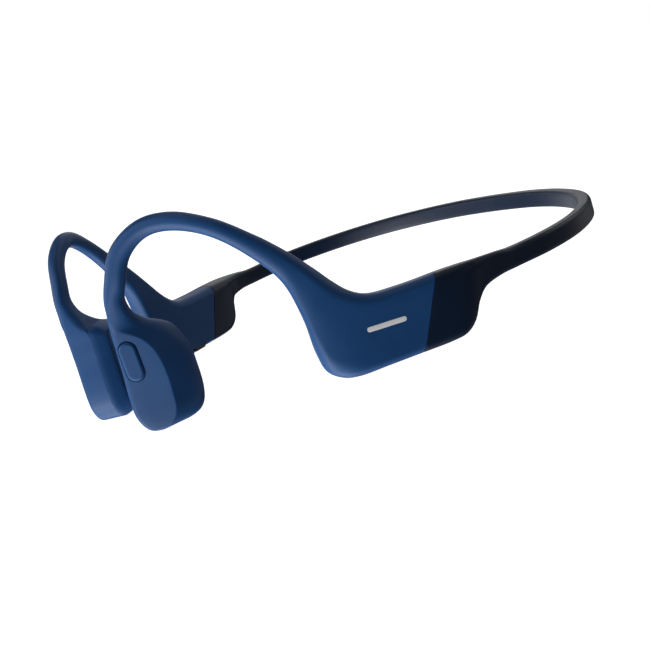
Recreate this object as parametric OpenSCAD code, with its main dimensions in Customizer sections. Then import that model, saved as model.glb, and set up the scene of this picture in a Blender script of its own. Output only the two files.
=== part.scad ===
// Open-ear bone conduction headset, worn behind the head.
// Millimetres. +Z is up, the wearer faces -Y and the wearer's left is +X.
// Z = 0 is the surface it stands on: both transducer housings and both pods touch it.
// X = 0 is the plane of symmetry; Y = 0 is halfway between the front and the back.

/* [Neckband] */
// Height of the neckband's section
band_height = 4.6; // [4:0.1:5.4]
// Thickness of the neckband's section
band_thickness = 3.2; // [2.8:0.1:3.8]

/* [Ear hooks] */
// Diameter of the titanium wire in the neckband and the hooks
wire_d = 0.9; // [0.7:0.05:1]
// Diameter of the cable bundle beside the wire
cable_d = 1; // [0.8:0.05:1.1]

/* [Pods] */
// Wall of the pod housings
pod_wall = 1; // [0.8:0.05:1.1]
// Angle between a pod and the plane of symmetry
pod_yaw = 22; // [21.5:0.5:22.5]

/* [Transducers] */
// Angle between a transducer's outer face and the plane of symmetry
front_yaw = 38; // [37.5:0.5:38.5]
// Thickness of a transducer from its outer face to the skin side
front_t = 9.6; // [9.6:0.1:10]
// Wall of the transducer housings
front_wall = 1.2; // [1:0.05:1.3]
// Diameter of the driver's yoke
yoke_d = 11.6; // [11:0.1:11.8]

/* [Controls] */
// Length of the multifunction button on the left transducer
button_l = 9.8; // [9:0.1:10]
// Width of the multifunction button
button_w = 4.4; // [4:0.1:4.6]
// Travel of the multifunction button
button_travel = 0.4; // [0.3:0.05:0.4]
// Length of each volume button under the right pod
volume_l = 4.8; // [4.4:0.1:4.9]
// Travel of each volume button
volume_travel = 0.3; // [0.2:0.05:0.3]

/* [Hidden] */
$fn = 48;

LEFT = 1;
RIGHT = -1;
BLUE = "#1f4173";
BLACK = "#141a24";

// Shift that puts Y = 0 halfway along the finished object.
centre_y = 1.4;

// ---- Curves, rings and skins ----

// Point at t between b and c on a smooth curve through a, b, c and d
function curve_at(a, b, c, d, t) =
    0.5 * (2 * b + (c - a) * t + (2 * a - 5 * b + 4 * c - d) * t * t
        + (3 * b - a - 3 * c + d) * t * t * t);

// Rows spaced along a smooth open curve, with steps rows for each stretch
function smooth_rows(rows, steps) = let (last = len(rows) - 1) concat(
    [for (i = [0:last - 1], j = [0:steps - 1])
        curve_at(rows[max(i - 1, 0)], rows[i], rows[i + 1], rows[min(i + 2, last)], j / steps)],
    [rows[last]]);

// The same for a closed outline
function smooth_loop(points, steps) = let (n = len(points))
    [for (i = [0:n - 1], j = [0:steps - 1])
        curve_at(points[(i + n - 1) % n], points[i], points[(i + 1) % n],
            points[(i + 2) % n], j / steps)];

function unit(v) = v / norm(v);
function rounded(v, squareness) = sign(v) * pow(abs(v), 2 / squareness);
function on_ground(p) = [p[0], p[1], max(0, p[2])];

// A rib is [top point, bottom point, [yaw, half thickness, squareness, closing]].
function rib_centre(rib) = (rib[0] + rib[1]) / 2;
function rib_up(rib) = unit(rib[0] - rib[1]);
function rib_across(rib) = [cos(rib[2][0]), -sin(rib[2][0]), 0];

// Closed section round a centre, up to half_up and half_across from it
function section(centre, up, across, half_up, half_across, squareness, sides) =
    [for (i = [0:sides - 1]) let (a = 360 * i / sides)
        centre + up * half_up * rounded(cos(a), squareness)
            + across * half_across * rounded(sin(a), squareness)];

skin_sides = 20;
bore_half_up = 1.3;
bore_half_across = 0.8;
bore_squareness = 3;

function outer_ring(rib) = [for (p = section(rib_centre(rib), rib_up(rib), rib_across(rib),
    norm(rib[0] - rib[1]) / 2, rib[2][1], rib[2][2], skin_sides)) on_ground(p)];

// Inner wall: an even wall where closing is 0, the wire's bore where it is 1
function inner_ring(rib, wall) = let (k = rib[2][3])
    (1 - k) * section(rib_centre(rib), rib_up(rib), rib_across(rib),
        norm(rib[0] - rib[1]) / 2 - wall, rib[2][1] - wall, rib[2][2], skin_sides)
    + k * section(rib_centre(rib), rib_up(rib), rib_across(rib),
        bore_half_up, bore_half_across, bore_squareness, skin_sides);

function joined(rings) = [for (ring = rings) for (p = ring) p];

// Two triangles for each cell between ring a and ring b, which hold n points each
function band_faces(a, b, n) = [for (i = [0:n - 1]) let (j = (i + 1) % n)
    each [[a * n + i, a * n + j, b * n + j], [a * n + i, b * n + j, b * n + i]]];
function backwards(list) = [for (i = [len(list) - 1:-1:0]) list[i]];

// Solid between a first and a last ring, closed by a flat cap at each end.
// The rings turn anticlockwise as seen from the last one, or clockwise if inward is true.
module capped_skin(rings, inward = false) {
    n = len(rings[0]);
    run = inward ? backwards(rings) : rings;
    last = len(rings) - 1;
    polyhedron(
        points = joined(run),
        faces = concat(
            [for (k = [0:last - 1]) each band_faces(k, k + 1, n)],
            [backwards([for (i = [0:n - 1]) i]), [for (i = [0:n - 1]) last * n + i]]),
        convexity = 8);
}

// Ring-shaped solid: the last ring joins the first
module looped_skin(rings, inward = false) {
    n = len(rings[0]);
    m = len(rings);
    run = inward ? backwards(rings) : rings;
    polyhedron(
        points = joined(run),
        faces = [for (k = [0:m - 1]) each band_faces(k, (k + 1) % m, n)],
        convexity = 8);
}

// Hollow tube: the outer skin forwards, then the inner wall back
module tube_skin(ribs, wall, inward = false) {
    looped_skin(concat(
        [for (rib = ribs) outer_ring(rib)],
        [for (rib = backwards(ribs)) inner_ring(rib, wall)]), inward);
}

// Round strand along the ribs, offset up the rib from its centre
module strand(ribs, offset_up, diameter, inward = false) {
    strand_sides = 8;
    capped_skin([for (rib = ribs)
        section(rib_centre(rib) + rib_up(rib) * offset_up, rib_up(rib), rib_across(rib),
            diameter / 2, diameter / 2, 2, strand_sides)], inward);
}

// ---- Frames ----

module placed(side) {
    translate([0, -centre_y, 0])
        mirror([side == LEFT ? 0 : 1, 0, 0])
            children();
}

// Front edge of the left transducer's outer face, at the ground
front_origin = [14.5, -63.9, 0];
// Middle of the left pod's seam, at the ground
pod_origin = [53, -10, 0];

function front_point(out, back, z) = front_origin
    + out * [cos(front_yaw), -sin(front_yaw), 0]
    + back * [sin(front_yaw), cos(front_yaw), 0] + [0, 0, z];
function pod_point(back, z) = pod_origin + back * [sin(pod_yaw), cos(pod_yaw), 0] + [0, 0, z];

// X points out of the outer face, Y runs backwards along it
module at_front(side) {
    placed(side)
        translate(front_origin)
            rotate([0, 0, -front_yaw])
                children();
}

module at_pod(side) {
    placed(side)
        translate(pod_origin)
            rotate([0, 0, -pod_yaw])
                children();
}

// Plate between two depths of a transducer, drawn as [backwards, up]
module slab(low, high) {
    rotate([90, 0, 90])
        translate([0, 0, low])
            linear_extrude(high - low)
                children();
}

module pill(length, width) {
    straight = length - width;
    square([width, straight], center = true);
    for (end = [-1, 1])
        translate([0, end * straight / 2])
            circle(d = width);
}

// ---- Left-hand ribs; the right side is their mirror image ----

// Pod, from the seam forwards to the root of the hook
pod_ribs = smooth_rows([
    [pod_point(3.9, 15.2), pod_point(-3.6, 0), [pod_yaw, 4, 4.5, 0]],
    [pod_point(-3.8, 15.2), pod_point(-11.2, -0.3), [pod_yaw, 4, 4.5, 0]],
    [pod_point(-11, 15.9), pod_point(-18.3, -0.2), [pod_yaw, 4, 4.2, 0]],
    [[47.6, -23.2, 17.7], [44.8, -30.4, 0.8], [24, 3.8, 3.8, 0.1]],
    [[46.5, -25.6, 20.5], [43.4, -33, 3.2], [27, 3.5, 3.3, 0.4]],
    [[45.4, -27.9, 24.1], [42.7, -34, 7.5], [29, 3.2, 2.9, 0.8]],
    [[43.9, -30.6, 28.3], [42.3, -34, 15], [31, 2.8, 2.6, 1]],
    [[42.2, -33.4, 32], [41.2, -35, 23.6], [32, 2.5, 2.4, 1]]
], 2);

// Hook, from the pod over the ear and down to the transducer
hook_ribs = smooth_rows([
    [[42.2, -33.4, 32], [41.2, -35, 23.6], [32, 2.5, 2.4, 1]],
    [[40.5, -36.2, 35.3], [38.8, -38.8, 31], [35, 2.3, 2.3, 1]],
    [[36.4, -42, 41.2], [34.8, -43.8, 37.6], [42, 2.15, 2.2, 1]],
    [[30.1, -48.1, 45.1], [29.3, -48.7, 41], [48, 2.1, 2.2, 1]],
    [[24.3, -53.2, 45.2], [25, -52.6, 41.1], [48, 2.1, 2.2, 1]],
    [[19.3, -58.3, 41.3], [21.5, -56.1, 38.2], [45, 2.15, 2.2, 1]],
    [[16.1, -61.2, 34.8], [19.4, -58.3, 33.2], [41, 2.35, 2.3, 1]],
    [front_point(-1.8, 0.8, 28), front_point(-1.8, 6.2, 28), [front_yaw, 2.8, 2.4, 1]],
    [front_point(-3.1, 0.1, 24.5), front_point(-3.1, 8.1, 24.5), [front_yaw, 3.1, 2.8, 1]]
], 3);

// Short run of the wire and the cable inside the transducer housing
inlet_rib = [front_point(-3.1, 0.1, 21.8), front_point(-3.1, 8.1, 21.8), [front_yaw, 3.1, 2.8, 1]];

// Height of the neckband's centre line where it meets a rear cover
band_root_z = 11.8;

// Rear cover, from the seam back to the neckband
rear_ribs = smooth_rows([
    [pod_point(3.9, 15.2), pod_point(-3.6, 0), [pod_yaw, 4, 4.5, 0]],
    [pod_point(7.8, 15.2), pod_point(3.2, -0.3), [pod_yaw, 4, 4.5, 0]],
    [pod_point(10.8, 15.1), pod_point(7.3, 0.3), [21, 3.8, 4.3, 0.05]],
    [[57.7, 1.8, 15], [56.5, -1.2, 2.2], [19, 3.5, 4.1, 0.3]],
    [[58.2, 3.6, 14.8], [57.2, 0.5, 5.6], [16, 3.1, 4, 0.7]],
    [[58.7, 5.8, 14.6], [58.1, 3, 8.2], [13, 2.5, 3.9, 1]],
    [[59.2, 8.8, 14.3], [58.9, 7.2, 9.2], [10, 2, 3.8, 1]],
    [[59.5, 12, band_root_z + band_height / 2], [59.5, 12, band_root_z - band_height / 2],
        [7, band_thickness / 2, 3.8, 1]]
], 2);

// Half neckband in plan, from the left rear cover to the middle, with its direction and height
band_half = [
    [59.5, 12, 7, band_root_z],
    [60.3, 22, -2, 11.9],
    [58.4, 33, -18, 12],
    [52.2, 45, -37, 12.1],
    [41.8, 55, -52, 12.2],
    [28.9, 61.4, -68, 12.3],
    [14.8, 64.8, -80, 12.4],
    [0, 65.8, -90, 12.4]
];
function band_rib(p) = [
    [p[0], p[1], p[3] + band_height / 2],
    [p[0], p[1], p[3] - band_height / 2],
    [p[2], band_thickness / 2, 3.8, 1]
];
band_rows = smooth_rows(concat(band_half,
    [for (i = [len(band_half) - 2:-1:0]) let (p = band_half[i]) [-p[0], p[1], -180 - p[2], p[3]]]), 3);
band_ribs = [for (row = band_rows) band_rib(row)];

// Where the wire and the cable lie in the bore
wire_up = 0.6;
cable_up = -0.62;

// The hook's wire and cable start this far inside the pod
pod_exit = [for (i = [10:len(pod_ribs) - 1]) pod_ribs[i]];

// The neckband's wire and cable start this far inside the left rear cover and end in the right
function mirrored_rib(rib) = [[-rib[0][0], rib[0][1], rib[0][2]], [-rib[1][0], rib[1][1], rib[1][2]],
    [-180 - rib[2][0], rib[2][1], rib[2][2], rib[2][3]]];
band_lead = [for (i = [5:len(rear_ribs) - 2]) rear_ribs[i]];
band_run = concat(band_lead, band_ribs, [for (rib = backwards(band_lead)) mirrored_rib(rib)]);

module neckband_cover() {
    color(BLACK)
        translate([0, -centre_y, 0])
            tube_skin(band_ribs, pod_wall, true);
}

module neckband_wire() {
    color("silver")
        translate([0, -centre_y, 0])
            strand(band_run, wire_up, wire_d, true);
}

module neckband_cable() {
    color("dimgray")
        translate([0, -centre_y, 0])
            strand(band_run, cable_up, cable_d, true);
}

// ---- Pods ----

// Openings in the right pod housing: the volume buttons' slot and the light's hole
volume_x = -1.95;
volume_half_w = 1.25;
volume_front = -17.5;
volume_gap = 0.4;
volume_bottom = 0.1;
volume_flange = 1.3;
slot_clear = 0.15;
light_back = -5.3;
light_d = 1;
seat_back = 1.6;
seat_l = 6.4;
seat_w = 3.2;
seat_recess = 0.4;
pin_d = 1.3;
pin_pitch = 2.6;

volume_slot_l = 2 * volume_l + volume_gap;

volume_slot_top = 2.6;

module volume_slot() {
    translate([volume_x - volume_half_w - slot_clear, volume_front - slot_clear, -1])
        cube([2 * (volume_half_w + slot_clear), volume_slot_l + 2 * slot_clear, 1 + volume_slot_top]);
}

module pod_housing(side) {
    color(BLUE)
        difference() {
            placed(side) tube_skin(pod_ribs, pod_wall);
            if (side == RIGHT) {
                at_pod(RIGHT) volume_slot();
                at_pod(RIGHT)
                    translate([0, light_back, -1])
                        cylinder(d = light_d + 0.1, h = 3);
            }
        }
}

module left_pod_housing() { pod_housing(LEFT); }
module right_pod_housing() { pod_housing(RIGHT); }

// The rear cover stops short of the housing by the seal's thickness
seal_t = 0.3;
function moved(rib, v) = [rib[0] + v, rib[1] + v, rib[2]];
seal_shift = seal_t * [sin(pod_yaw), cos(pod_yaw), 0];
cover_ribs = concat([moved(rear_ribs[0], seal_shift)],
    [for (i = [1:len(rear_ribs) - 1]) rear_ribs[i]]);

module rear_cover(side) {
    color(BLACK)
        difference() {
            placed(side) tube_skin(cover_ribs, pod_wall, true);
            if (side == RIGHT)
                at_pod(RIGHT)
                    translate([0, seat_back, -1])
                        linear_extrude(1 + pod_wall + 0.9)
                            pill(seat_l + 0.1, seat_w + 0.1);
        }
}

module left_rear_cover() { rear_cover(LEFT); }
module right_rear_cover() { rear_cover(RIGHT); }

module pod_seal(side) {
    inset = 0.15;
    rib = [rear_ribs[0][0], rear_ribs[0][1], rear_ribs[0][2]];
    function seal_ring(r, d) = section(rib_centre(r), rib_up(r), rib_across(r),
        norm(r[0] - r[1]) / 2 - d, r[2][1] - d, r[2][2], skin_sides);
    // the seal's own faces stand this far off the two covers
    slack = 0.02;
    near = moved(rib, slack / seal_t * seal_shift);
    far = moved(rib, (1 - slack / seal_t) * seal_shift);
    color("dimgray")
        placed(side)
            looped_skin([seal_ring(near, inset + 0.3), seal_ring(far, inset + 0.3),
                seal_ring(far, pod_wall), seal_ring(near, pod_wall)], true);
}

module left_pod_seal() { pod_seal(LEFT); }
module right_pod_seal() { pod_seal(RIGHT); }

cell = [4.6, 20, 11];
cell_front = -14.5;
cell_floor = 1.9;

module left_battery_cell() {
    color("lightgray")
        at_pod(LEFT)
            translate([-cell[0] / 2, cell_front, cell_floor])
                cube(cell);
}

module left_protection_board() {
    board = [0.8, 2.6, 8];
    color("seagreen")
        at_pod(LEFT)
            translate([-board[0] / 2, cell_front - board[1] - 0.4, 3.4])
                cube(board);
}

board_t = 0.8;
board_x = 1;
board_back = 5;
board_front = -16.5;
board_floor = 3.4;
board_top = 13.2;

module right_main_board() {
    color("seagreen")
        at_pod(RIGHT)
            translate([board_x, board_front, board_floor])
                cube([board_t, board_back - board_front, board_top - board_floor]);
}

module right_wireless_module() {
    chip = [1.1, 6, 6];
    color("silver")
        at_pod(RIGHT)
            translate([board_x - chip[0], -6, 5])
                cube(chip);
}

module right_antenna() {
    strip = [1, 9, 1.4];
    color("whitesmoke")
        at_pod(RIGHT)
            translate([board_x - strip[0], -7.6, board_top - strip[2]])
                cube(strip);
}

module volume_button(front) {
    flange_t = 0.4;
    flange_over = 0.6;
    flange_start = 1.4;
    color(BLACK)
        at_pod(RIGHT) {
            translate([volume_x - volume_half_w, front, volume_bottom])
                cube([2 * volume_half_w, volume_l, volume_flange + flange_t - volume_bottom]);
            translate([volume_x, front + flange_start, volume_flange])
                cube([volume_half_w + flange_over, volume_l - flange_start, flange_t]);
        }
}

module volume_down_button() { volume_button(volume_front); }
module volume_up_button() { volume_button(volume_front + volume_l + volume_gap); }

module volume_switches() {
    body = [2, 2.4, 1.2];
    shift = 0.9;
    floor_z = volume_flange + 0.4 + volume_travel + 0.08;
    color("gainsboro")
        at_pod(RIGHT)
            for (front = [volume_front, volume_front + volume_l + volume_gap])
                translate([volume_x - body[0] / 2 + shift, front + (volume_l - body[1]) / 2, floor_z])
                    cube(body);
}

module status_light() {
    color("ghostwhite")
        at_pod(RIGHT)
            translate([0, light_back, 0.15])
                cylinder(d = light_d, h = 2.2);
}

module charging_seat() {
    seat_top = 2.4;
    color("black")
        at_pod(RIGHT)
            difference() {
                translate([0, seat_back, seat_recess])
                    linear_extrude(seat_top - seat_recess)
                        pill(seat_l, seat_w);
                for (end = [-1, 1])
                    translate([0, seat_back + end * pin_pitch / 2, 0])
                        cylinder(d = pin_d + 0.04, h = seat_top + 1);
            }
}

module charging_pins() {
    color("gold")
        at_pod(RIGHT)
            for (end = [-1, 1])
                translate([0, seat_back + end * pin_pitch / 2, 0.2])
                    cylinder(d = pin_d, h = 2.5);
}

module charging_magnets() {
    magnet = [1.8, 1.8, 1.6];
    color("silver")
        at_pod(RIGHT)
            for (end = [-1, 1])
                translate([-magnet[0] / 2, seat_back + end * 2.6 - magnet[1] / 2, 2.45 + 0.3])
                    cube(magnet);
}

// ---- Hooks ----

module hook_cover(side) {
    color(BLUE) placed(side) tube_skin(hook_ribs, pod_wall);
}

module hook_strand(side, offset_up, diameter) {
    run = concat(pod_exit, [for (i = [1:len(hook_ribs) - 1]) hook_ribs[i]], [inlet_rib]);
    placed(side) strand(run, offset_up, diameter);
}

module left_hook_cover() { hook_cover(LEFT); }
module right_hook_cover() { hook_cover(RIGHT); }
module left_hook_wire() { color("silver") hook_strand(LEFT, wire_up, wire_d); }
module right_hook_wire() { color("silver") hook_strand(RIGHT, wire_up, wire_d); }
module left_hook_cable() { color("dimgray") hook_strand(LEFT, cable_up, cable_d); }
module right_hook_cable() { color("dimgray") hook_strand(RIGHT, cable_up, cable_d); }

// ---- Transducers ----

// Widest outline of a transducer, [backwards, up], anticlockwise from the top of the front edge
body_outline = smooth_loop([
    [-0.1, 24.5], [-0.7, 17], [-1.2, 10], [-1.1, 5], [0.4, 1.5], [3.8, 0],
    [8, 0], [12.2, 1.5], [14.8, 5.2], [15.5, 11], [15, 17], [12.6, 21.6],
    [8.6, 24.4], [4, 24.5]
], 3);
// Flat outer face, point for point with the widest outline
face_outline = smooth_loop([
    [0.3, 24.3], [-0.3, 17], [-0.8, 10.5], [-0.7, 6], [0.8, 2.6], [3.4, 0.9],
    [6.6, 1.2], [8.6, 3.2], [9.1, 6], [9.2, 10.5], [9.3, 14.5], [8.7, 18.4],
    [6.9, 22.4], [3.6, 24.3]
], 3);

// An outline drawn in towards the middle of the transducer, by d at its widest points
outline_centre = [7.2, 12.2];
outline_half = [8.4, 12.3];
function inset(outline, d) = [for (p = outline) [
    outline_centre[0] + (p[0] - outline_centre[0]) * (1 - d / outline_half[0]),
    outline_centre[1] + (p[1] - outline_centre[1]) * (1 - d / outline_half[1])]];
function at_depth(outline, out) = [for (p = outline) [out, p[0], min(24.5, max(0, p[1]))]];

// Middle of the multifunction button
button_centre = [2.9, 16.6];
chamfer_depth = -3.6;
parting = -6.3;
inlet_d = 3.1;
inlet_at = [-3.1, 4.1];

// Distance from a pill's middle to its edge in a direction
function pill_edge(dir, half_straight, r) = let (x = abs(dir[0]), y = abs(dir[1]))
    r * y <= half_straight * x ? r / x
        : half_straight * y + sqrt(r * r - half_straight * half_straight * x * x);

// The button's slot, point for point with an outline round it
function slot_outline(outline) = [for (p = outline) let (dir = unit(p - button_centre))
    button_centre + dir * pill_edge(dir, (button_l - button_w) / 2, button_w / 2 + slot_clear)];

module front_housing(side) {
    inner_face = inset(face_outline, front_wall * 0.6);
    inner_body = inset(body_outline, front_wall);
    wall_rings = [
        at_depth(inner_face, -front_wall),
        at_depth(inner_body, chamfer_depth - 0.4),
        at_depth(inner_body, parting),
        at_depth(body_outline, parting),
        at_depth(body_outline, chamfer_depth),
        at_depth(face_outline, 0)
    ];
    color(BLUE)
        at_front(side)
            difference() {
                if (side == LEFT)
                    looped_skin(concat(
                        [at_depth(slot_outline(inner_face), -front_wall)],
                        wall_rings,
                        [at_depth(slot_outline(face_outline), 0)]), true);
                else
                    capped_skin(wall_rings, true);
                translate([inlet_at[0], inlet_at[1], 22.6])
                    cylinder(d = inlet_d, h = 3);
            }
}

module left_front_housing() { front_housing(LEFT); }
module right_front_housing() { front_housing(RIGHT); }

// Outline of the pad that touches the skin
pad_inset = 2.7;
pad_clear = 0.3;
cover_gap = 0.05;

module front_cover(side) {
    skin_side = -front_t;
    lip = 0.9;
    color(BLUE)
        at_front(side)
            looped_skin([
                at_depth(inset(body_outline, front_wall), parting - cover_gap),
                at_depth(inset(body_outline, front_wall), skin_side + lip),
                at_depth(inset(body_outline, pad_inset - pad_clear), skin_side + lip),
                at_depth(inset(body_outline, pad_inset - pad_clear), skin_side),
                at_depth(inset(body_outline, 1.6), skin_side),
                at_depth(inset(body_outline, 0.3), skin_side + 1.2),
                at_depth(body_outline, parting - cover_gap)
            ], true);
}

module left_front_cover() { front_cover(LEFT); }
module right_front_cover() { front_cover(RIGHT); }

driver_at = [7.4, 11.2];
yoke_back = -3.8;
yoke_floor = 0.7;
yoke_wall = 0.8;
yoke_depth = 2.9;
magnet_d = 8;
magnet_t = 1.4;
plate_t = 0.7;
coil_id = 8.5;
coil_od = 9.5;
coil_top = -5.2;
carrier_back = -7.5;
carrier_t = 0.5;
spring_back = -7;
spring_t = 0.2;
pad_back = -front_t + 0.7;

module driver_disc(low, high, d) {
    slab(low, high)
        translate(driver_at)
            circle(d = d);
}

module driver_yoke(side) {
    rim = yoke_back - yoke_depth;
    color("slategray")
        at_front(side)
            difference() {
                driver_disc(rim, yoke_back, yoke_d);
                driver_disc(rim - 1, yoke_back - yoke_floor, yoke_d - 2 * yoke_wall);
            }
}

module driver_magnet(side) {
    back = yoke_back - yoke_floor;
    color("silver") at_front(side) driver_disc(back - magnet_t, back, magnet_d);
}

module driver_top_plate(side) {
    back = yoke_back - yoke_floor - magnet_t;
    color("slategray") at_front(side) driver_disc(back - plate_t, back, magnet_d);
}

// Flat spring: an outer ring with three arms that reach in towards the carrier
module driver_spring(side) {
    ring_id = 11.8;
    ring_od = 13.2;
    arm_w = 0.9;
    hub_r = coil_od / 2 + 0.35;
    color("silver")
        at_front(side)
            slab(spring_back - spring_t, spring_back)
                translate(driver_at) {
                    difference() {
                        circle(d = ring_od);
                        circle(d = ring_id);
                    }
                    for (arm = [0:2])
                        rotate(120 * arm)
                            translate([hub_r, -arm_w / 2])
                                square([ring_id / 2 - hub_r + 0.2, arm_w]);
                }
}

module voice_coil(side) {
    color("peru")
        at_front(side)
            difference() {
                driver_disc(carrier_back, coil_top, coil_od);
                driver_disc(carrier_back - 1, coil_top + 1, coil_id);
            }
}

module coil_carrier(side) {
    hub_d = 7;
    back = carrier_back - carrier_t;
    color("gainsboro")
        at_front(side) {
            driver_disc(back, carrier_back, coil_od);
            driver_disc(pad_back, back, hub_d);
        }
}

module contact_pad(side) {
    proud = 0.3;
    color(BLUE)
        at_front(side)
            capped_skin([
                at_depth(inset(body_outline, pad_inset + 0.6), -front_t - proud),
                at_depth(inset(body_outline, pad_inset), -front_t),
                at_depth(inset(body_outline, pad_inset), pad_back)
            ], true);
}

module microphone(side) {
    can = [1.1, 3, 2];
    color("silver")
        at_front(side)
            translate([-5.8, 2.2, 2.6])
                cube(can);
}

module left_driver_yoke() { driver_yoke(LEFT); }
module right_driver_yoke() { driver_yoke(RIGHT); }
module left_driver_magnet() { driver_magnet(LEFT); }
module right_driver_magnet() { driver_magnet(RIGHT); }
module left_driver_top_plate() { driver_top_plate(LEFT); }
module right_driver_top_plate() { driver_top_plate(RIGHT); }
module left_driver_spring() { driver_spring(LEFT); }
module right_driver_spring() { driver_spring(RIGHT); }
module left_voice_coil() { voice_coil(LEFT); }
module right_voice_coil() { voice_coil(RIGHT); }
module left_coil_carrier() { coil_carrier(LEFT); }
module right_coil_carrier() { coil_carrier(RIGHT); }
module left_contact_pad() { contact_pad(LEFT); }
module right_contact_pad() { contact_pad(RIGHT); }
module left_microphone() { microphone(LEFT); }
module right_microphone() { microphone(RIGHT); }

// ---- Multifunction button, on the left transducer ----

button_proud = 0.4;
button_flange_back = -front_wall - 0.1;
button_flange_t = 0.4;
nub_t = 0.2;

module multifunction_button() {
    flange_over = 1.4;
    flange_under = 0.6;
    low = button_flange_back - button_flange_t;
    color(BLUE)
        at_front(LEFT) {
            slab(button_flange_back - 0.1, button_proud)
                translate(button_centre)
                    pill(button_l, button_w);
            slab(low, button_flange_back)
                translate(button_centre)
                    pill(button_l + flange_over, button_w - flange_under);
            slab(low - nub_t, low + 0.1)
                translate(button_centre)
                    circle(d = 1.6);
        }
}

switch_back = button_flange_back - button_flange_t - nub_t - button_travel - 0.05;
switch_t = 0.8;

module multifunction_switch() {
    color("gainsboro")
        at_front(LEFT)
            slab(switch_back - switch_t, switch_back)
                translate(button_centre)
                    square(3, center = true);
}

module multifunction_flex_board() {
    back = switch_back - switch_t;
    color("orange")
        at_front(LEFT)
            slab(back - 0.15, back)
                translate(button_centre + [0, 0.4])
                    square([4, 8], center = true);
}
neckband_cover();
neckband_wire();
neckband_cable();
left_rear_cover();
left_pod_seal();
left_pod_housing();
left_battery_cell();
left_protection_board();
left_hook_cover();
left_hook_wire();
left_hook_cable();
left_front_housing();
left_front_cover();
left_driver_yoke();
left_driver_magnet();
left_driver_top_plate();
left_driver_spring();
left_voice_coil();
left_coil_carrier();
left_contact_pad();
left_microphone();
multifunction_button();
multifunction_switch();
multifunction_flex_board();
right_rear_cover();
right_pod_seal();
right_pod_housing();
right_main_board();
right_wireless_module();
right_antenna();
volume_up_button();
volume_down_button();
volume_switches();
status_light();
charging_seat();
charging_pins();
charging_magnets();
right_hook_cover();
right_hook_wire();
right_hook_cable();
right_front_housing();
right_front_cover();
right_driver_yoke();
right_driver_magnet();
right_driver_top_plate();
right_driver_spring();
right_voice_coil();
right_coil_carrier();
right_contact_pad();
right_microphone();
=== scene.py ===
"""Looks of the open-ear headset: soft-touch silicone skins, buttons, seams and contacts round the CAD frame.

Lengths in the tables are millimetres in the row frame: +Z up, the wearer faces -Y, +X is the wearer's left.
The left side is modelled and the right side is its mirror image, apart from the buttons and the contacts.
"""

import math

import bpy
import bmesh
import numpy as np
from mathutils import Matrix, Vector


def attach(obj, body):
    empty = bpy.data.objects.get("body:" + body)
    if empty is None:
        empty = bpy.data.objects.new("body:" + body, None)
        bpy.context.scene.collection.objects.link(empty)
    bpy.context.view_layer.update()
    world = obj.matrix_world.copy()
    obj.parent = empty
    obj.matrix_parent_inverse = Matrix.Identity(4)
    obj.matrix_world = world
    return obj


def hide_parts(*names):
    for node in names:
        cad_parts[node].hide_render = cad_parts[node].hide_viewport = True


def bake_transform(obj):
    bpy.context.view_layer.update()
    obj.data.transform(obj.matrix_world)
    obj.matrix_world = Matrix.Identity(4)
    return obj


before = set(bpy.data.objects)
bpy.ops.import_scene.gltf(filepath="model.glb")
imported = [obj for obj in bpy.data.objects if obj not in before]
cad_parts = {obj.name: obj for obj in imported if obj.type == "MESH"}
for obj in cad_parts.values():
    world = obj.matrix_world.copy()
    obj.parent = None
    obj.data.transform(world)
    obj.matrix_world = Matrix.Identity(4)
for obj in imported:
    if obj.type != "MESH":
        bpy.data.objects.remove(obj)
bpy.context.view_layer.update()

MM = 0.001
LEFT, RIGHT = 1, -1
SIDE_NAME = {LEFT: "left", RIGHT: "right"}

# ---- Local frames of the left side ----

FRONT_YAW = math.radians(38)    # a transducer's outer face, from the plane of symmetry
FRONT_ORIGIN = np.array([14.5, -65.3, 0.0])
POD_YAW = math.radians(22)
POD_ORIGIN = np.array([53.0, -11.4, 0.0])


def front(out, back, z):
    """Point of a transducer: out of its outer face, backwards along it, and up."""
    c, s = math.cos(FRONT_YAW), math.sin(FRONT_YAW)
    return FRONT_ORIGIN + out * np.array([c, -s, 0]) + back * np.array([s, c, 0]) + np.array([0, 0, z])


def pod(out, back, z):
    """Point of a pod: out of its outer face, backwards along it, and up."""
    c, s = math.cos(POD_YAW), math.sin(POD_YAW)
    return POD_ORIGIN + out * np.array([c, -s, 0]) + back * np.array([s, c, 0]) + np.array([0, 0, z])


# ---- Curves and lofts ----

CORNERS = 5         # corners of a station
COORDS = 3 * CORNERS
CORNER_STEPS = 7    # points on each rounded corner of a ring
EDGE_STEPS = 2      # points between two rounded corners
EDGE_USE = 0.94     # share of an edge that its two rounded corners may use


def corner_curve(before, corner, after, reach_in, reach_out):
    """Rounded corner that starts and ends the two reaches away from the corner."""
    e1, e2 = before - corner, after - corner
    e1, e2 = e1 / np.linalg.norm(e1), e2 / np.linalg.norm(e2)
    weight = math.sqrt(max(0.0, (1 - float(np.dot(e1, e2))) / 2))
    start, end = corner + e1 * reach_in, corner + e2 * reach_out
    points = []
    for i in range(CORNER_STEPS):
        u = i / (CORNER_STEPS - 1)
        b0, b1, b2 = (1 - u) ** 2, 2 * u * (1 - u) * weight, u * u
        points.append((b0 * start + b1 * corner + b2 * end) / (b0 + b1 + b2))
    return points


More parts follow.
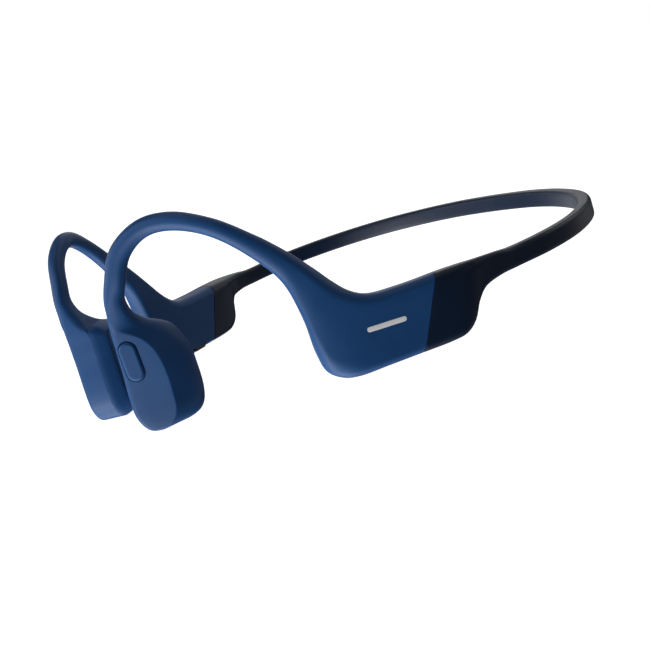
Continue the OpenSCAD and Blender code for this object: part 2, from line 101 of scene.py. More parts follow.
def rounded_ring(corners, reaches):
    """Closed ring through rounded corners, with the same number of points for any corners."""
    n = len(corners)
    shares = []
    for i in range(n):
        length = np.linalg.norm(corners[(i + 1) % n] - corners[i])
        shares.append(min(1.0, EDGE_USE * length / (reaches[i] + reaches[(i + 1) % n])))
    arcs = [corner_curve(corners[i - 1], corners[i], corners[(i + 1) % n],
                         reaches[i] * shares[i - 1], reaches[i] * shares[i]) for i in range(n)]
    ring = []
    for i in range(n):
        ring += arcs[i]
        a, b = arcs[i][-1], arcs[(i + 1) % n][0]
        ring += [a + (b - a) * k / (EDGE_STEPS + 1) for k in range(1, EDGE_STEPS + 1)]
    return np.array(ring)


def smooth_stations(rows, spacing):
    """Rows spread along smooth curves through the given rows, about `spacing` apart.

    A row is the coordinates of the corners, then their reaches; only the corners set the spacing.
    """
    rows = np.array(rows, float)
    last = len(rows) - 1
    out = []
    for i in range(last):
        p0, p1, p2, p3 = rows[max(i - 1, 0)], rows[i], rows[i + 1], rows[min(i + 2, last)]
        knots = [0.0]
        for a, b in ((p0, p1), (p1, p2), (p2, p3)):
            step = math.sqrt(max(np.linalg.norm((b - a)[:COORDS]), 1e-6)) if a is not b else 0.0
            knots.append(knots[-1] + step)
        t0, t1, t2, t3 = knots
        m1 = (p2 - p1) / (t2 - t1) if t1 == t0 else \
            (p1 - p0) / (t1 - t0) - (p2 - p0) / (t2 - t0) + (p2 - p1) / (t2 - t1)
        m2 = (p2 - p1) / (t2 - t1) if t3 == t2 else \
            (p2 - p1) / (t2 - t1) - (p3 - p1) / (t3 - t1) + (p3 - p2) / (t3 - t2)
        m1, m2 = m1 * (t2 - t1), m2 * (t2 - t1)
        travel = max(np.linalg.norm((p2 - p1)[k:k + 3]) for k in range(0, COORDS, 3))
        steps = max(2, int(round(travel / spacing)))
        for j in range(steps):
            u = j / steps
            out.append((2 * u ** 3 - 3 * u ** 2 + 1) * p1 + (u ** 3 - 2 * u ** 2 + u) * m1
                       + (3 * u ** 2 - 2 * u ** 3) * p2 + (u ** 3 - u ** 2) * m2)
    out.append(rows[-1])
    return out


def stations_to_rings(stations, spacing):
    """A station is five corner points and five reaches; returns the rings of the loft."""
    rows = [np.concatenate([np.concatenate(corners), reaches]) for corners, reaches in stations]
    rings = []
    for row in smooth_stations(rows, spacing):
        rings.append(rounded_ring(row[:COORDS].reshape(CORNERS, 3), row[COORDS:]))
    return rings


def loft_mesh(name, rings, cap_start=False, cap_end=False, side=LEFT):
    """Quads between rings; a capped end is closed by one face. The right side is mirrored."""
    rings = [np.array(r) for r in rings]
    n = len(rings[0])
    vertices = [tuple(p * [side, 1, 1] * MM) for ring in rings for p in ring]
    faces = []
    for k in range(len(rings) - 1):
        a, b = k * n, (k + 1) * n
        for i in range(n):
            j = (i + 1) % n
            faces.append((a + i, a + j, b + j, b + i))
    if cap_start:
        faces.append(tuple(reversed(range(n))))
    if cap_end:
        faces.append(tuple((len(rings) - 1) * n + i for i in range(n)))
    mesh = bpy.data.meshes.new(name)
    mesh.from_pydata(vertices, [], faces)
    fix_normals(mesh)
    obj = bpy.data.objects.new(name, mesh)
    bpy.context.scene.collection.objects.link(obj)
    return obj


def fix_normals(mesh):
    """Faces outwards and shades smoothly."""
    bm = bmesh.new()
    bm.from_mesh(mesh)
    bmesh.ops.recalc_face_normals(bm, faces=bm.faces)
    bm.to_mesh(mesh)
    bm.free()
    for polygon in mesh.polygons:
        polygon.use_smooth = True


def shrunk_ring(ring, factor, shift=(0, 0, 0)):
    """Ring scaled about its own middle and moved."""
    centre = ring.mean(0)
    return centre + (ring - centre) * factor + np.array(shift)


EDGE_SHARE = 0.3    # how much narrower a crowned section is at its top and bottom
BULGE_SHARE = 0.12  # how much wider it is in the middle


def rib(top, bottom, yaw, half, reach, crown=0.0, lean=0.0):
    """Five-corner station from the two silhouette points and the half thickness.

    A crown of 1 is near an ellipse; lean lowers the corner at the top of the inner side.
    """
    across = np.array([math.cos(math.radians(yaw)), -math.sin(math.radians(yaw)), 0]) * half
    top, bottom = np.array(top, float), np.array(bottom, float)
    edge = across * (1 - EDGE_SHARE * crown)
    bulge = across * (1 + BULGE_SHARE * crown)
    corners = [top + edge, (top + bottom) / 2 + bulge, bottom + edge, bottom - edge, top - edge]
    corners[4] = corners[4] - np.array([0, 0, lean])
    reaches = list(reach) if isinstance(reach, (list, tuple)) else [reach] * CORNERS
    return corners, reaches


def front_station(a, b, c, d, e, reaches):
    """Five-corner station of a transducer, each corner as (out, back, z)."""
    return [front(*p) for p in (a, b, c, d, e)], list(reaches)


# ---- Shapes of the left side ----

PARTING = -6.3      # depth of the joint between a transducer's two shells
FRONT_DEPTH = -9.6  # depth of the skin side

POD_REACH = [2.3, 1.5, 2.1, 1.9, 2.3]

blue_stations = [
    rib(pod(0, 3.8, 15.65), pod(0, -3.7, 0), 22, 4.0, POD_REACH, 0, 0.9),
    rib(pod(0, -3.8, 15.6), pod(0, -11.2, 0), 22, 4.0, [2.3, 1.5, 2.2, 1.9, 2.3], 0, 0.8),
    rib(pod(0, -11, 16.2), pod(0, -18.3, 0), 22, 4.0, [2.6, 1.8, 2.7, 2.0, 2.4], 0, 0.6),
    rib((47.6, -24.6, 17.9), (45.0, -31.2, 0.6), 24, 3.85, [2.8, 2.6, 3.5, 2.2, 2.5], 0.1, 0.3),
    rib((46.5, -27.0, 20.6), (43.7, -33.7, 2.8), 27, 3.6, [3.0, 2.8, 3.9, 2.2, 2.7], 0.2),
    rib((45.4, -29.3, 24.1), (43.0, -34.5, 7.4), 29, 3.3, [3.0, 3.2, 4.4, 2.3, 2.7], 0.3),
    rib((43.9, -32.0, 28.1), (42.6, -34.6, 15.4), 31, 2.85, [2.8, 3.0, 3.6, 2.3, 2.7], 0.5),
    rib((42.2, -34.8, 31.8), (41.5, -35.9, 24.2), 32, 2.5, [2.4] * 5, 0.8),
    rib((40.5, -37.6, 35.1), (39.1, -39.9, 31.4), 35, 2.25, [2.0] * 5, 1),
    rib((36.2, -43.6, 41.25), (34.8, -45.2, 38.1), 42, 2.15, [1.9] * 5, 1),
    rib((29.8, -49.8, 45.3), (29.1, -50.4, 41.4), 48, 2.1, [2.0] * 5, 1),
    rib((24.0, -54.8, 45.35), (24.8, -54.1, 41.35), 48, 2.1, [2.0] * 5, 1),
    rib((18.9, -59.8, 41.55), (21.3, -57.5, 38.35), 45, 2.1, [2.0] * 5, 1),
    rib((15.75, -62.55, 34.9), (19.15, -59.55, 33.25), 41, 2.2, [2.1] * 5, 0.9),
    front_station((0.9, 1.4, 31.2), (1.75, 3.7, 30.8), (0.8, 6.0, 30.4), (-2.2, 5.9, 30.4),
                  (-2.2, 1.5, 31.2), [2.1] * 5),
    front_station((0.95, 0.8, 28.2), (1.35, 3.5, 27.9), (0.5, 6.1, 27.6), (-3.2, 6.0, 27.6),
                  (-3.2, 0.9, 28.2), [2.1] * 5),
    front_station((0.95, 0.4, 26.0), (1.05, 3.0, 26.0), (0.0, 6.7, 26.0), (-4.3, 6.7, 26.0),
                  (-4.3, 0.5, 26.0), [1.8, 1.6, 2.8, 2.2, 2.0]),
    front_station((0.85, 0.25, 24.2), (0.8, 2.9, 24.1), (-1.2, 8.1, 24.2), (-5.4, 8.3, 24.2),
                  (-5.2, 0.25, 24.2), [1.6, 0.8, 3.0, 1.6, 1.6]),
    front_station((0.75, 0.1, 22.6), (0.72, 5.0, 22.5), (-2.4, 10.0, 22.9), (PARTING, 10.4, 22.8),
                  (PARTING + 0.1, 0.1, 22.6), [1.5, 0.35, 3.0, 0.5, 0.5]),
    front_station((0.65, 0.0, 20.6), (0.63, 6.9, 20.8), (-3.4, 12.0, 21.2), (PARTING, 12.3, 21.2),
                  (PARTING, 0.0, 20.6), [1.4, 0.3, 2.6, 0.07, 0.07]),
    front_station((0.57, -0.2, 18.2), (0.55, 8.35, 18.2), (-4.0, 13.4, 18.5), (PARTING, 13.6, 18.5),
                  (PARTING, -0.2, 18.2), [1.3, 0.3, 2.2, 0.07, 0.07]),
    front_station((0.5, -0.4, 15.3), (0.5, 9.0, 15.3), (-4.2, 14.3, 15.6), (PARTING, 14.5, 15.6),
                  (PARTING, -0.4, 15.3), [1.2, 0.3, 2.2, 0.07, 0.07]),
    front_station((0.45, -0.9, 11.0), (0.45, 9.2, 11.0), (-4.2, 14.4, 11.2), (PARTING, 14.6, 11.2),
                  (PARTING, -0.9, 11.0), [1.2, 0.3, 2.2, 0.07, 0.07]),
    front_station((0.45, -1.2, 7.0), (0.45, 8.9, 7.0), (-4.2, 14.2, 7.0), (PARTING, 14.4, 7.0),
                  (PARTING, -1.2, 7.0), [1.2, 0.3, 2.2, 0.07, 0.07]),
    front_station((0.45, -1.1, 4.5), (0.45, 8.6, 4.5), (-4.1, 13.7, 4.2), (PARTING, 13.9, 4.2),
                  (PARTING, -1.1, 4.5), [1.2, 0.3, 2.2, 0.07, 0.07]),
    front_station((0.42, -0.5, 2.6), (0.42, 7.9, 2.7), (-4.1, 12.8, 2.2), (PARTING, 13.1, 2.2),
                  (PARTING, -0.5, 2.6), [1.2, 0.35, 2.0, 0.07, 0.07]),
    front_station((0.3, 0.5, 1.1), (0.35, 6.8, 1.4), (-4.0, 11.6, 0.8), (PARTING, 11.8, 0.8),
                  (PARTING, 0.5, 1.1), [1.1, 0.4, 1.9, 0.07, 0.07]),
    front_station((0.0, 1.7, 0.35), (0.15, 5.6, 0.6), (-4.0, 9.9, 0.2), (PARTING, 10.0, 0.2),
                  (PARTING, 1.7, 0.35), [0.9, 0.4, 1.4, 0.07, 0.07]),
    front_station((-0.7, 3.1, 0.02), (-0.6, 4.4, 0.1), (-4.2, 8.2, 0.01), (PARTING, 8.2, 0.01),
                  (PARTING, 3.1, 0.02), [0.6, 0.5, 0.9, 0.07, 0.07]),
]

BAND_HEIGHT = 4.6
BAND_THICKNESS = 3.2

band_centres = [
    (59.5, 10.6, 7, 11.8), (60.3, 20.6, -2, 11.9), (58.4, 31.6, -18, 12.0), (52.2, 43.6, -37, 12.1),
    (41.8, 53.6, -52, 12.2), (28.9, 60.0, -68, 12.3), (14.8, 63.4, -80, 12.4), (0, 64.4, -90, 12.4),
]
BAND_REACH = 0.9


def band_station(x, y, yaw, z):
    """Station of the neckband at a point of its middle line."""
    half = BAND_HEIGHT / 2
    return rib((x, y, z + half), (x, y, z - half), yaw, BAND_THICKNESS / 2, BAND_REACH)


black_stations = [
    rib(pod(0, 3.95, 15.65), pod(0, -3.55, 0), 22, 4.0, POD_REACH, 0, 0.9),
    rib(pod(0, 7.8, 15.6), pod(0, 3.3, 0), 22, 4.0, POD_REACH, 0, 0.9),
    rib(pod(0, 10.8, 15.5), pod(0, 6.8, 0.5), 21, 3.75, [2.0, 1.5, 1.8, 1.7, 2.2], 0, 0.9),
    rib((57.7, 0.4, 15.4), (56.3, -2.8, 2.2), 19, 3.3, [1.7, 1.4, 1.6, 1.6, 1.9], 0, 0.9),
    rib((58.2, 2.2, 15.25), (57.1, -1.2, 5.5), 16, 2.8, [1.5, 1.3, 1.5, 1.5, 1.6], 0, 0.8),
    rib((58.7, 4.4, 15.0), (58.0, 1.2, 8.2), 13, 2.3, [1.2, 1.2, 1.3, 1.3, 1.3], 0, 0.6),
    rib((59.2, 7.4, 14.6), (58.9, 5.8, 9.4), 10, 1.9, BAND_REACH, 0, 0.3),
] + [band_station(*p) for p in band_centres]

SKIN_SPACING = 0.9     # between the rings of a skin
SEAM_BEVEL = 0.1       # length of the bevel at the seam of the blue and the black skin
SEAM_SHRINK = 0.996    # ring sizes from the bevel to the edge of the inward face
SEAM_LIP = 0.985
SEAM_INNER = 0.9
SEAM_DEPTH = 0.3
SEAM_SLOPE = 0.35      # how far along the bevel its middle ring lies
BOTTOM_SHRINKS = (0.6, 0.4)     # the last rings of a blue skin, each from the one before
BOTTOM_DROP = 0.02


def bevelled_start(rings, depth):
    """Adds a small bevel and an inward face at the first ring of a loft."""
    axis = rings[1].mean(0) - rings[0].mean(0)
    axis = axis / np.linalg.norm(axis)
    inner = shrunk_ring(rings[0], SEAM_INNER, axis * SEAM_DEPTH)
    lip = shrunk_ring(rings[0], SEAM_LIP)
    bevel = shrunk_ring(rings[0], SEAM_SHRINK, axis * depth * SEAM_SLOPE)
    return [inner, lip, bevel, rings[0] + axis * depth] + rings[1:]


def build_blue_skin(side):
    """Pod, hook and outer transducer shell in one soft skin, closed at the transducer's bottom."""
    rings = stations_to_rings(blue_stations, SKIN_SPACING)
    rings = bevelled_start(rings, SEAM_BEVEL)
    rings.append(shrunk_ring(rings[-1], BOTTOM_SHRINKS[0], (0, 0, -BOTTOM_DROP)))
    rings.append(shrunk_ring(rings[-1], BOTTOM_SHRINKS[1]))
    return loft_mesh(SIDE_NAME[side] + "_blue_skin", rings, cap_end=True, side=side)


def build_black_skin(side):
    """Rear of a pod and one half of the neckband; the two halves meet in the plane of symmetry."""
    rings = stations_to_rings(black_stations, SKIN_SPACING)
    rings = bevelled_start(rings, SEAM_BEVEL)
    return loft_mesh(SIDE_NAME[side] + "_black_skin", rings, side=side)


# Outline of a transducer at the joint of its shells, (back, z), anticlockwise from the top of the front
COVER_OUTLINE = [
    (0.15, 22.6), (0.0, 20.6), (-0.2, 18.2), (-0.4, 15.3), (-0.9, 11.0), (-1.2, 7.0), (-1.1, 4.5),
    (-0.5, 2.6), (0.5, 1.1), (1.7, 0.35), (3.3, 0.02), (5.6, 0.0), (8.2, 0.01), (10.0, 0.2), (11.8, 0.8),
    (13.1, 2.2), (13.9, 4.2), (14.4, 7.0), (14.6, 11.2), (14.5, 15.6), (13.6, 18.5), (12.3, 21.2),
    (10.4, 22.8), (8.6, 23.5), (6.0, 23.9), (3.2, 23.9), (1.1, 23.6),
]
COVER_CENTRE = np.array([7.2, 12.0])
COVER_HALF = np.array([8.4, 12.1])
COVER_STEPS = 4    # points of the smooth outline per point of the table


def closed_curve(points, steps):
    """Smooth closed curve through the points."""
    points = [np.array(p, float) for p in points]
    n = len(points)
    out = []
    for i in range(n):
        a, b, c, d = points[i - 1], points[i], points[(i + 1) % n], points[(i + 2) % n]
        for j in range(steps):
            t = j / steps
            out.append(0.5 * (2 * b + (c - a) * t + (2 * a - 5 * b + 4 * c - d) * t * t
                              + (3 * b - a - 3 * c + d) * t ** 3))
    return np.array(out)


def inset_outline(outline, d):
    """The outline, moved inwards by about d on every side."""
    return COVER_CENTRE + (outline - COVER_CENTRE) * (1 - d / COVER_HALF)


def outline_ring(outline, d, out):
    """Ring of a transducer along the inset outline; no point goes under the standing surface."""
    return np.array([front(out, p[0], max(p[1], 0)) for p in inset_outline(outline, d)])


PAD_INSET = 2.7    # from the outline to the edge of the contact pad
PAD_GAP = 0.14     # round the contact pad


def build_front_cover(side):
    """Skin-side shell of a transducer with the contact pad's opening, from (inset, out) rows."""
    outline = closed_curve(COVER_OUTLINE, COVER_STEPS)
    profile = [
        (0.6, PARTING - 0.02), (0.05, PARTING - 0.02), (0.03, PARTING - 0.03), (0.04, PARTING - 0.1),
        (0.1, -6.6), (0.27, -7.0), (0.55, -7.5), (0.92, -8.0), (1.3, -8.5), (1.65, -8.95), (1.98, -9.3),
        (2.2, -9.5), (2.35, FRONT_DEPTH), (PAD_INSET - PAD_GAP - 0.08, FRONT_DEPTH + 0.01),
        (PAD_INSET - PAD_GAP, FRONT_DEPTH + 0.1), (PAD_INSET - PAD_GAP, FRONT_DEPTH + 0.8),
    ]
    rings = [outline_ring(outline, d, out) for d, out in profile]
    return loft_mesh(SIDE_NAME[side] + "_skin_side_shell", rings, side=side)


def build_contact_pad(side):
    """Soft pad that touches the skin and vibrates, from (inset, out) rows."""
    outline = closed_curve(COVER_OUTLINE, COVER_STEPS)
    top = FRONT_DEPTH - 0.25
    profile = [
        (PAD_INSET, FRONT_DEPTH + 0.7), (PAD_INSET, FRONT_DEPTH + 0.15), (PAD_INSET + 0.04, FRONT_DEPTH),
        (PAD_INSET + 0.16, FRONT_DEPTH - 0.12), (PAD_INSET + 0.5, top + 0.04), (PAD_INSET + 1.2, top),
        (PAD_INSET + 3.0, top - 0.03), (PAD_INSET + 5.0, top - 0.04),
    ]
    rings = [outline_ring(outline, d, out) for d, out in profile]
    return loft_mesh(SIDE_NAME[side] + "_contact_pad_skin", rings, cap_end=True, side=side)


# ---- Buttons, contacts and marks ----

CORNER_POINTS = 9          # points on each corner of a rounded rectangle
BUTTON_CENTRE = np.array([2.7, 16.9])
BUTTON_HALF = (2.05, 4.55)
FACE_OUT = 0.5             # the transducer's flat face
BUTTON_PROUD = FACE_OUT + 0.4
VOLUME_OUT = -2.4          # middle of the volume buttons, from the middle of the pod
VOLUME_HALF = (1.25, 2.4)
VOLUME_CENTRES = (-15.1, -9.9)
VOLUME_CLEAR = 0.15        # round the volume buttons
VOLUME_RADIUS = 0.45
LIGHT_BACK = -5.3
LIGHT_HALF = 0.56
POD_OUT = 4.02             # the pod's outer face
MARK_CENTRE = (-9.6, 9.0)
MARK_HALF = (4.4, 0.55)
MARK_TURN = math.radians(-3)
SEAT_BACK = 1.6
SEAT_HALF = (1.65, 3.25)
ROUND = 0.02               # how much smaller than its half width a fully round end is


def rounded_rectangle(half_a, half_b, radius):
    """Anticlockwise outline with round corners; a pill where the radius is the smaller half."""
    points = []
    for quarter, (sa, sb) in enumerate(((1, 1), (-1, 1), (-1, -1), (1, -1))):
        centre = np.array([sa * (half_a - radius), sb * (half_b - radius)])
        for k in range(CORNER_POINTS):
            angle = math.pi / 2 * (quarter + k / (CORNER_POINTS - 1))
            points.append(centre + radius * np.array([math.cos(angle), math.sin(angle)]))
    return np.array(points)


def on_front(grow, out):
    """Pill-shaped ring of the multifunction button, grown sideways."""
    half = [h + grow for h in BUTTON_HALF]
    points = rounded_rectangle(half[0], half[1], min(half) - ROUND) + BUTTON_CENTRE
    return np.array([front(out, p[0], p[1]) for p in points])


def build_button():
    """Multifunction button, from (grow, out) rows."""
    profile = [(0.0, -1.5), (0.0, FACE_OUT), (-0.04, FACE_OUT + 0.08), (-0.45, BUTTON_PROUD - 0.04),
               (-0.52, BUTTON_PROUD), (-0.65, BUTTON_PROUD + 0.01), (-1.0, BUTTON_PROUD + 0.01),
               (-1.6, BUTTON_PROUD + 0.01)]
    rings = [on_front(grow, out) for grow, out in profile]
    return loft_mesh("multifunction_button_cap", rings, cap_end=True)


def build_button_cutter():
    """Pocket of the multifunction button, with room for its travel."""
    profile = [(0.14, -2.3), (0.14, FACE_OUT - 0.1), (0.2, FACE_OUT + 0.06), (0.24, FACE_OUT + 1.2)]
    rings = [on_front(grow, out) for grow, out in profile]
    return loft_mesh("button_cutter", rings, cap_start=True, cap_end=True)


def under_pod(name, half, radius, out, back, profile):
    """Right-hand piece under the pod, from (grow, z) rows of its outline."""
    rings = []
    for grow, z in profile:
        corner = max(radius + grow, ROUND)
        points = rounded_rectangle(half[0] + grow, half[1] + grow, corner)
        rings.append(np.array([pod(out + p[0], back + p[1], z) for p in points]))
    return loft_mesh(name, rings, cap_start=True, cap_end=True, side=RIGHT)


def build_volume_button(name, back):
    """One volume button, its lower edge rounded."""
    profile = [(-0.4, 0.0), (-0.12, 0.0), (-0.03, 0.04), (0.0, 0.12), (0.0, 1.25)]
    return under_pod(name, VOLUME_HALF, VOLUME_RADIUS, VOLUME_OUT, back, profile)


def build_volume_cutter():
    """Pocket of both volume buttons, with room for their travel."""
    half_long = (VOLUME_CENTRES[1] - VOLUME_CENTRES[0]) / 2 + VOLUME_HALF[1]
    middle = sum(VOLUME_CENTRES) / 2
    profile = [(VOLUME_CLEAR + 0.1, -1.0), (VOLUME_CLEAR, 1.8)]
    return under_pod("volume_cutter", (VOLUME_HALF[0], half_long), VOLUME_RADIUS + 0.05, VOLUME_OUT, middle,
                     profile)


def build_volume_mark(name, back, upright):
    """Small raised bar on a volume button."""
    half = (0.55, 0.09) if upright else (0.09, 0.55)
    return under_pod(name, half, 0.08, VOLUME_OUT, back, [(-0.02, -0.05), (0.0, -0.03), (0.0, 0.1)])


def build_pod_mark():
    """Plain rounded bar printed on the left pod, in place of any mark."""
    rings = []
    c, d = math.cos(MARK_TURN), math.sin(MARK_TURN)
    for grow, out in ((0.0, POD_OUT - 0.12), (0.0, POD_OUT), (-0.05, POD_OUT + 0.02), (-0.2, POD_OUT + 0.02)):
        half = [h + grow for h in MARK_HALF]
        points = rounded_rectangle(half[0], half[1], half[1] - ROUND)
        turned = [(p[0] * c - p[1] * d, p[0] * d + p[1] * c) for p in points]
        rings.append(np.array([pod(out, MARK_CENTRE[0] + a, MARK_CENTRE[1] + b) for a, b in turned]))
    return loft_mesh("left_pod_mark", rings, cap_end=True)


def build_light_cutter():
    """Hole over the status light."""
    return under_pod("light_cutter", (LIGHT_HALF, LIGHT_HALF), LIGHT_HALF - 0.01, 0, LIGHT_BACK,
                     [(0.1, -1.0), (0.0, 0.1), (0.0, 0.9)])


def build_seat_cutter():
    """Recess over the charging seat."""
    return under_pod("seat_cutter", SEAT_HALF, SEAT_HALF[0] - 0.01, 0, SEAT_BACK,
                     [(0.35, -1.0), (0.2, 0.0), (0.0, 0.16), (0.0, 0.75)])


SHARP_ANGLE = math.radians(32)


def cut(obj, cutter):
    """Cuts the cutter out of the object for good."""
    modifier = obj.modifiers.new("cut", "BOOLEAN")
    modifier.object = cutter
    modifier.operation = "DIFFERENCE"
    modifier.solver = "EXACT"
    depsgraph = bpy.context.evaluated_depsgraph_get()
    mesh = bpy.data.meshes.new_from_object(obj.evaluated_get(depsgraph))
    obj.modifiers.clear()
    obj.data = mesh
    mesh.set_sharp_from_angle(angle=SHARP_ANGLE)
    bpy.data.objects.remove(cutter)


# ---- Materials ----

CLOUD_SCALE = 60.0        # patches of slightly different colour and roughness, per metre
CLOUD_EDGES = (0.35, 0.65)
ROUGHNESS_SPREAD = 0.04
GRAIN_DEPTH = 0.00005


def principled(name, colour, roughness, metallic=0.0, bump=0.0, scale=900.0, vary=0.08, specular=0.5):
    """Material with cloudy colour and roughness and, where bump isn't 0, a fine grain."""
    material = bpy.data.materials.new(name)
    material.use_nodes = True
    nodes, links = material.node_tree.nodes, material.node_tree.links
    shader = nodes["Principled BSDF"]
    shader.inputs["Metallic"].default_value = metallic
    shader.inputs["Specular IOR Level"].default_value = specular
    coords = nodes.new("ShaderNodeTexCoord")
    cloud = nodes.new("ShaderNodeTexNoise")
    cloud.inputs["Scale"].default_value = CLOUD_SCALE
    cloud.inputs["Detail"].default_value = 5.0
    links.new(coords.outputs["Object"], cloud.inputs["Vector"])
    tint = nodes.new("ShaderNodeValToRGB")
    low = [c * (1 - vary) for c in colour]
    high = [min(1, c * (1 + vary)) for c in colour]
    tint.color_ramp.elements[0].position = CLOUD_EDGES[0]
    tint.color_ramp.elements[0].color = (*low, 1)
    tint.color_ramp.elements[1].position = CLOUD_EDGES[1]
    tint.color_ramp.elements[1].color = (*high, 1)
    links.new(cloud.outputs["Fac"], tint.inputs["Fac"])
    links.new(tint.outputs["Color"], shader.inputs["Base Color"])
    spread = nodes.new("ShaderNodeMapRange")
    spread.inputs["To Min"].default_value = roughness - ROUGHNESS_SPREAD
    spread.inputs["To Max"].default_value = roughness + ROUGHNESS_SPREAD
    links.new(cloud.outputs["Fac"], spread.inputs["Value"])
    links.new(spread.outputs["Result"], shader.inputs["Roughness"])
    if bump:
        grain = nodes.new("ShaderNodeTexNoise")
        grain.inputs["Scale"].default_value = scale
        grain.inputs["Detail"].default_value = 3.0
        links.new(coords.outputs["Object"], grain.inputs["Vector"])
        relief = nodes.new("ShaderNodeBump")
        relief.inputs["Strength"].default_value = bump
        relief.inputs["Distance"].default_value = GRAIN_DEPTH
        links.new(grain.outputs["Fac"], relief.inputs["Height"])
        links.new(relief.outputs["Normal"], shader.inputs["Normal"])
    return material


BLUE = (0.0098, 0.059, 0.184)
BLACK = (0.003, 0.011, 0.031)

materials = {
    "blue_silicone": principled("blue_silicone", BLUE, 0.46, bump=0.25, scale=5200, specular=0.24),
    "black_silicone": principled("black_silicone", BLACK, 0.42, bump=0.25, scale=5200, specular=0.3),
    "black_plastic": principled("black_plastic", (0.008, 0.009, 0.012), 0.35, bump=0.15, scale=7000),
    "pad_silicone": principled("pad_silicone", BLUE, 0.55, bump=0.3, scale=5200),
    "mark_grey": principled("mark_grey", (0.3, 0.31, 0.32), 0.5, bump=0.1, scale=6000),
    "mark_print": principled("mark_print", (0.78, 0.79, 0.8), 0.5, bump=0.1, scale=6000),
    "titanium": principled("titanium", (0.45, 0.43, 0.4), 0.35, metallic=1.0, bump=0.2, scale=3000),
    "metal_can": principled("metal_can", (0.55, 0.56, 0.58), 0.3, metallic=1.0, bump=0.15, scale=3000),
    "copper": principled("copper", (0.72, 0.35, 0.18), 0.35, metallic=1.0, bump=0.3, scale=4000),
    "gold": principled("gold", (0.9, 0.65, 0.25), 0.25, metallic=1.0, bump=0.1, scale=5000),
    "battery_foil": principled("battery_foil", (0.6, 0.6, 0.62), 0.4, metallic=0.8, bump=0.3, scale=1500),
    "circuit_board": principled("circuit_board", (0.03, 0.16, 0.06), 0.45, bump=0.2, scale=2500),
    "ceramic": principled("ceramic", (0.75, 0.74, 0.7), 0.4, bump=0.1, scale=3000),
    "light_plastic": principled("light_plastic", (0.6, 0.6, 0.58), 0.45, bump=0.2, scale=3000),
    "clear_plastic": principled("clear_plastic", (0.8, 0.82, 0.85), 0.2, bump=0.05, scale=3000),
}


def paint(obj, name):
    """Gives the object one of the materials."""
    obj.data.materials.clear()
    obj.data.materials.append(materials[name])
    return obj


# ---- Assembly ----

def add(obj, body, material, slot, *nodes):
    """Puts a rigid piece on a body, with its look, and hides the nodes that it stands for. The slot argument
    is not used.
    """
    paint(obj, material)
    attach(obj, body)
    if nodes:
        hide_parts(*nodes)
    return obj


for side in (LEFT, RIGHT):
    name = SIDE_NAME[side]

    blue = build_blue_skin(side)
    if side == LEFT:
        cut(blue, build_button_cutter())
    else:
        cut(blue, build_volume_cutter())
        cut(blue, build_light_cutter())
    paint(blue, "blue_silicone")
    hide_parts(name + "_pod_housing", name + "_hook_cover", name + "_front_housing",
                name + "_hook_wire", name + "_hook_cable")
    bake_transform(blue)

    black = build_black_skin(side)
    if side == RIGHT:
        cut(black, build_seat_cutter())
    paint(black, "black_silicone")
    hidden = [name + "_rear_cover"]
    if side == LEFT:
        hidden += ["neckband_cover", "neckband_wire", "neckband_cable"]
    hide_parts(*hidden)
    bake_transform(black)

    add(build_front_cover(side), name + "_front", "blue_silicone", "blue_soft_touch", name + "_front_cover")
    add(build_contact_pad(side), name + "_driver", "pad_silicone", "blue_silicone", name + "_contact_pad")

add(build_button(), "multifunction_button", "blue_silicone", "blue_soft_touch", "multifunction_button")
for node_name, back in zip(("volume_down_button", "volume_up_button"), VOLUME_CENTRES):
    add(build_volume_button(node_name + "_cap", back), node_name, "black_plastic", "black_plastic", node_name)
    add(build_volume_mark(node_name + "_bar", back, True), node_name, "mark_grey", "black_plastic")
add(build_volume_mark("volume_up_button_cross", VOLUME_CENTRES[1], False), "volume_up_button", "mark_grey",
    "black_plastic")

add(build_pod_mark(), "left_side", "mark_print", "blue_soft_touch")

NODE_LOOKS = {
    "wire": "titanium", "cable": "black_plastic", "cell": "battery_foil", "board": "circuit_board",
    "wireless_module": "metal_can", "antenna": "ceramic", "yoke": "metal_can", "plate": "metal_can",
    "magnet": "metal_can", "spring": "titanium", "coil": "copper", "carrier": "light_plastic",
    "microphone": "metal_can", "switch": "light_plastic", "status_light": "clear_plastic",
    "seal": "black_plastic", "charging_seat": "black_plastic", "charging_pins": "gold",
}
for node_name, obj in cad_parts.items():
    if not obj.hide_render:
        looks = [look for word, look in NODE_LOOKS.items() if word in node_name]
        paint(obj, looks[-1] if looks else "black_plastic")

# ---- Camera, light and floor ----

CAMERA_PLACE = (0.2307, -0.1423, 0.0579)
CAMERA_AZIMUTH = math.radians(59.14)
CAMERA_ELEVATION = math.radians(11.82)
CAMERA_ROLL = math.radians(-18.64)
CAMERA_LENS = 58.37
SENSOR = 36.0


def camera_axes(azimuth, elevation, roll):
    """Right, up and backward axes of a camera."""
    back = Vector((math.sin(azimuth) * math.cos(elevation), -math.cos(azimuth) * math.cos(elevation),
                   math.sin(elevation)))
    right = Vector((math.cos(azimuth), math.sin(azimuth), 0))
    up = back.cross(right)
    c, s = math.cos(roll), math.sin(roll)
    return right * c + up * s, up * c - right * s, back


right, up, back = camera_axes(CAMERA_AZIMUTH, CAMERA_ELEVATION, CAMERA_ROLL)
camera_data = bpy.data.cameras.new("camera")
camera_data.lens = CAMERA_LENS
camera_data.sensor_width = SENSOR
camera_data.clip_start = 0.01
camera = bpy.data.objects.new("camera", camera_data)
camera.matrix_world = Matrix.Translation(CAMERA_PLACE) @ Matrix((right, up, back)).transposed().to_4x4()
bpy.context.scene.collection.objects.link(camera)
bpy.context.scene.camera = camera


LIGHT_TARGET = Vector((0.02, -0.02, 0.02))
LIGHT_REACH = 0.8
LIGHT_SIZE = 0.45


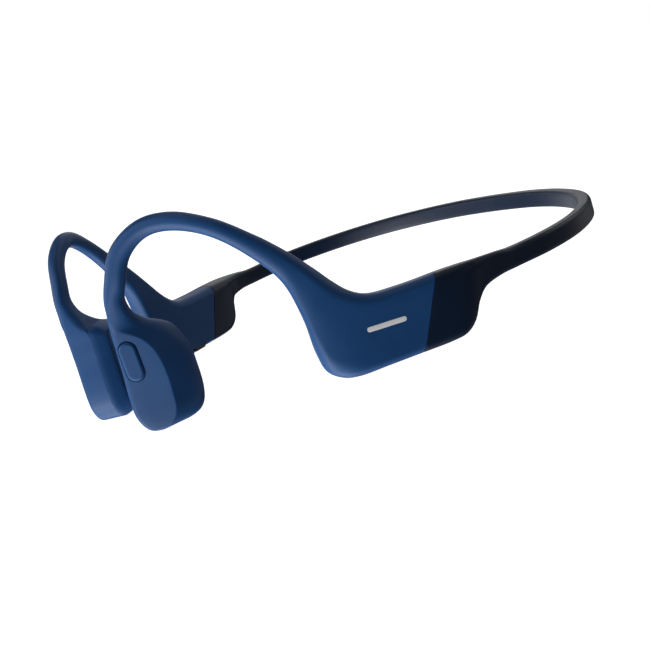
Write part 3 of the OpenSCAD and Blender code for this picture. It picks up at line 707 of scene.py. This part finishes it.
def soft_box(name, azimuth, elevation, power):
    """Square light that looks at the object; azimuth 0 is straight ahead of the wearer."""
    a, e = math.radians(azimuth), math.radians(elevation)
    away = Vector((math.sin(a) * math.cos(e), -math.cos(a) * math.cos(e), math.sin(e)))
    data = bpy.data.lights.new(name, "AREA")
    data.shape = "SQUARE"
    data.size = LIGHT_SIZE
    data.energy = power
    obj = bpy.data.objects.new(name, data)
    place = LIGHT_TARGET + away * LIGHT_REACH
    obj.matrix_world = Matrix.Translation(place) @ (-away).to_track_quat("-Z", "Y").to_matrix().to_4x4()
    bpy.context.scene.collection.objects.link(obj)


# name, azimuth and elevation in degrees, power in watts
SOFT_BOXES = [
    ("key_front", 0, 32, 1.35), ("front_right", -35, 12, 1.75), ("key_right", -75, 20, 0.5),
    ("front_low", 0, -30, 5.4), ("front_low_left", 30, -25, 1.5), ("front_low_right", -45, -30, 0.9),
    ("side_high", 60, 60, 0.2), ("side", 110, 10, 0.2), ("back_left", 150, 20, 0.5),
    ("back_low_left", 150, -35, 0.4), ("back_high", 180, 30, 0.7), ("back_low", 180, -12, 0.25),
    ("rim_high", -130, 35, 0.5), ("rim", -130, 10, 0.5), ("right", -100, -5, 0.7),
    ("right_low", -120, -30, 0.4), ("below_right", -40, -64, 3.0), ("top", 0, 88, 1.1),
    ("below", 0, -88, 1.0),
]
for soft_box_row in SOFT_BOXES:
    soft_box(*soft_box_row)

world = bpy.data.worlds.new("studio")
world.use_nodes = True
world.node_tree.nodes["Background"].inputs["Color"].default_value = (1, 1, 1, 1)
world.node_tree.nodes["Background"].inputs["Strength"].default_value = 1.0
bpy.context.scene.world = world
world.cycles_visibility.diffuse = False
world.cycles_visibility.glossy = False
bpy.context.scene.view_settings.view_transform = "Standard"

FLOOR_HALF = 3.0
FLOOR_DROP = 0.0002
floor_mesh = bpy.data.meshes.new("floor")
floor_mesh.from_pydata([(-FLOOR_HALF, -FLOOR_HALF, 0), (FLOOR_HALF, -FLOOR_HALF, 0),
                        (FLOOR_HALF, FLOOR_HALF, 0), (-FLOOR_HALF, FLOOR_HALF, 0)], [], [(0, 1, 2, 3)])
floor = bpy.data.objects.new("floor", floor_mesh)
floor.location.z = -FLOOR_DROP
bpy.context.scene.collection.objects.link(floor)
materials["floor"] = principled("floor", (0.4, 0.4, 0.4), 0.9, vary=0.01)
floor_shader = materials["floor"].node_tree.nodes["Principled BSDF"]
floor_shader.inputs["Emission Color"].default_value = (1, 1, 1, 1)
floor_shader.inputs["Specular IOR Level"].default_value = 0.0
floor_shader.inputs["Emission Strength"].default_value = 1.0
floor_mesh.materials.append(materials["floor"])
floor.visible_shadow = False
floor.visible_diffuse = False
floor.visible_glossy = False
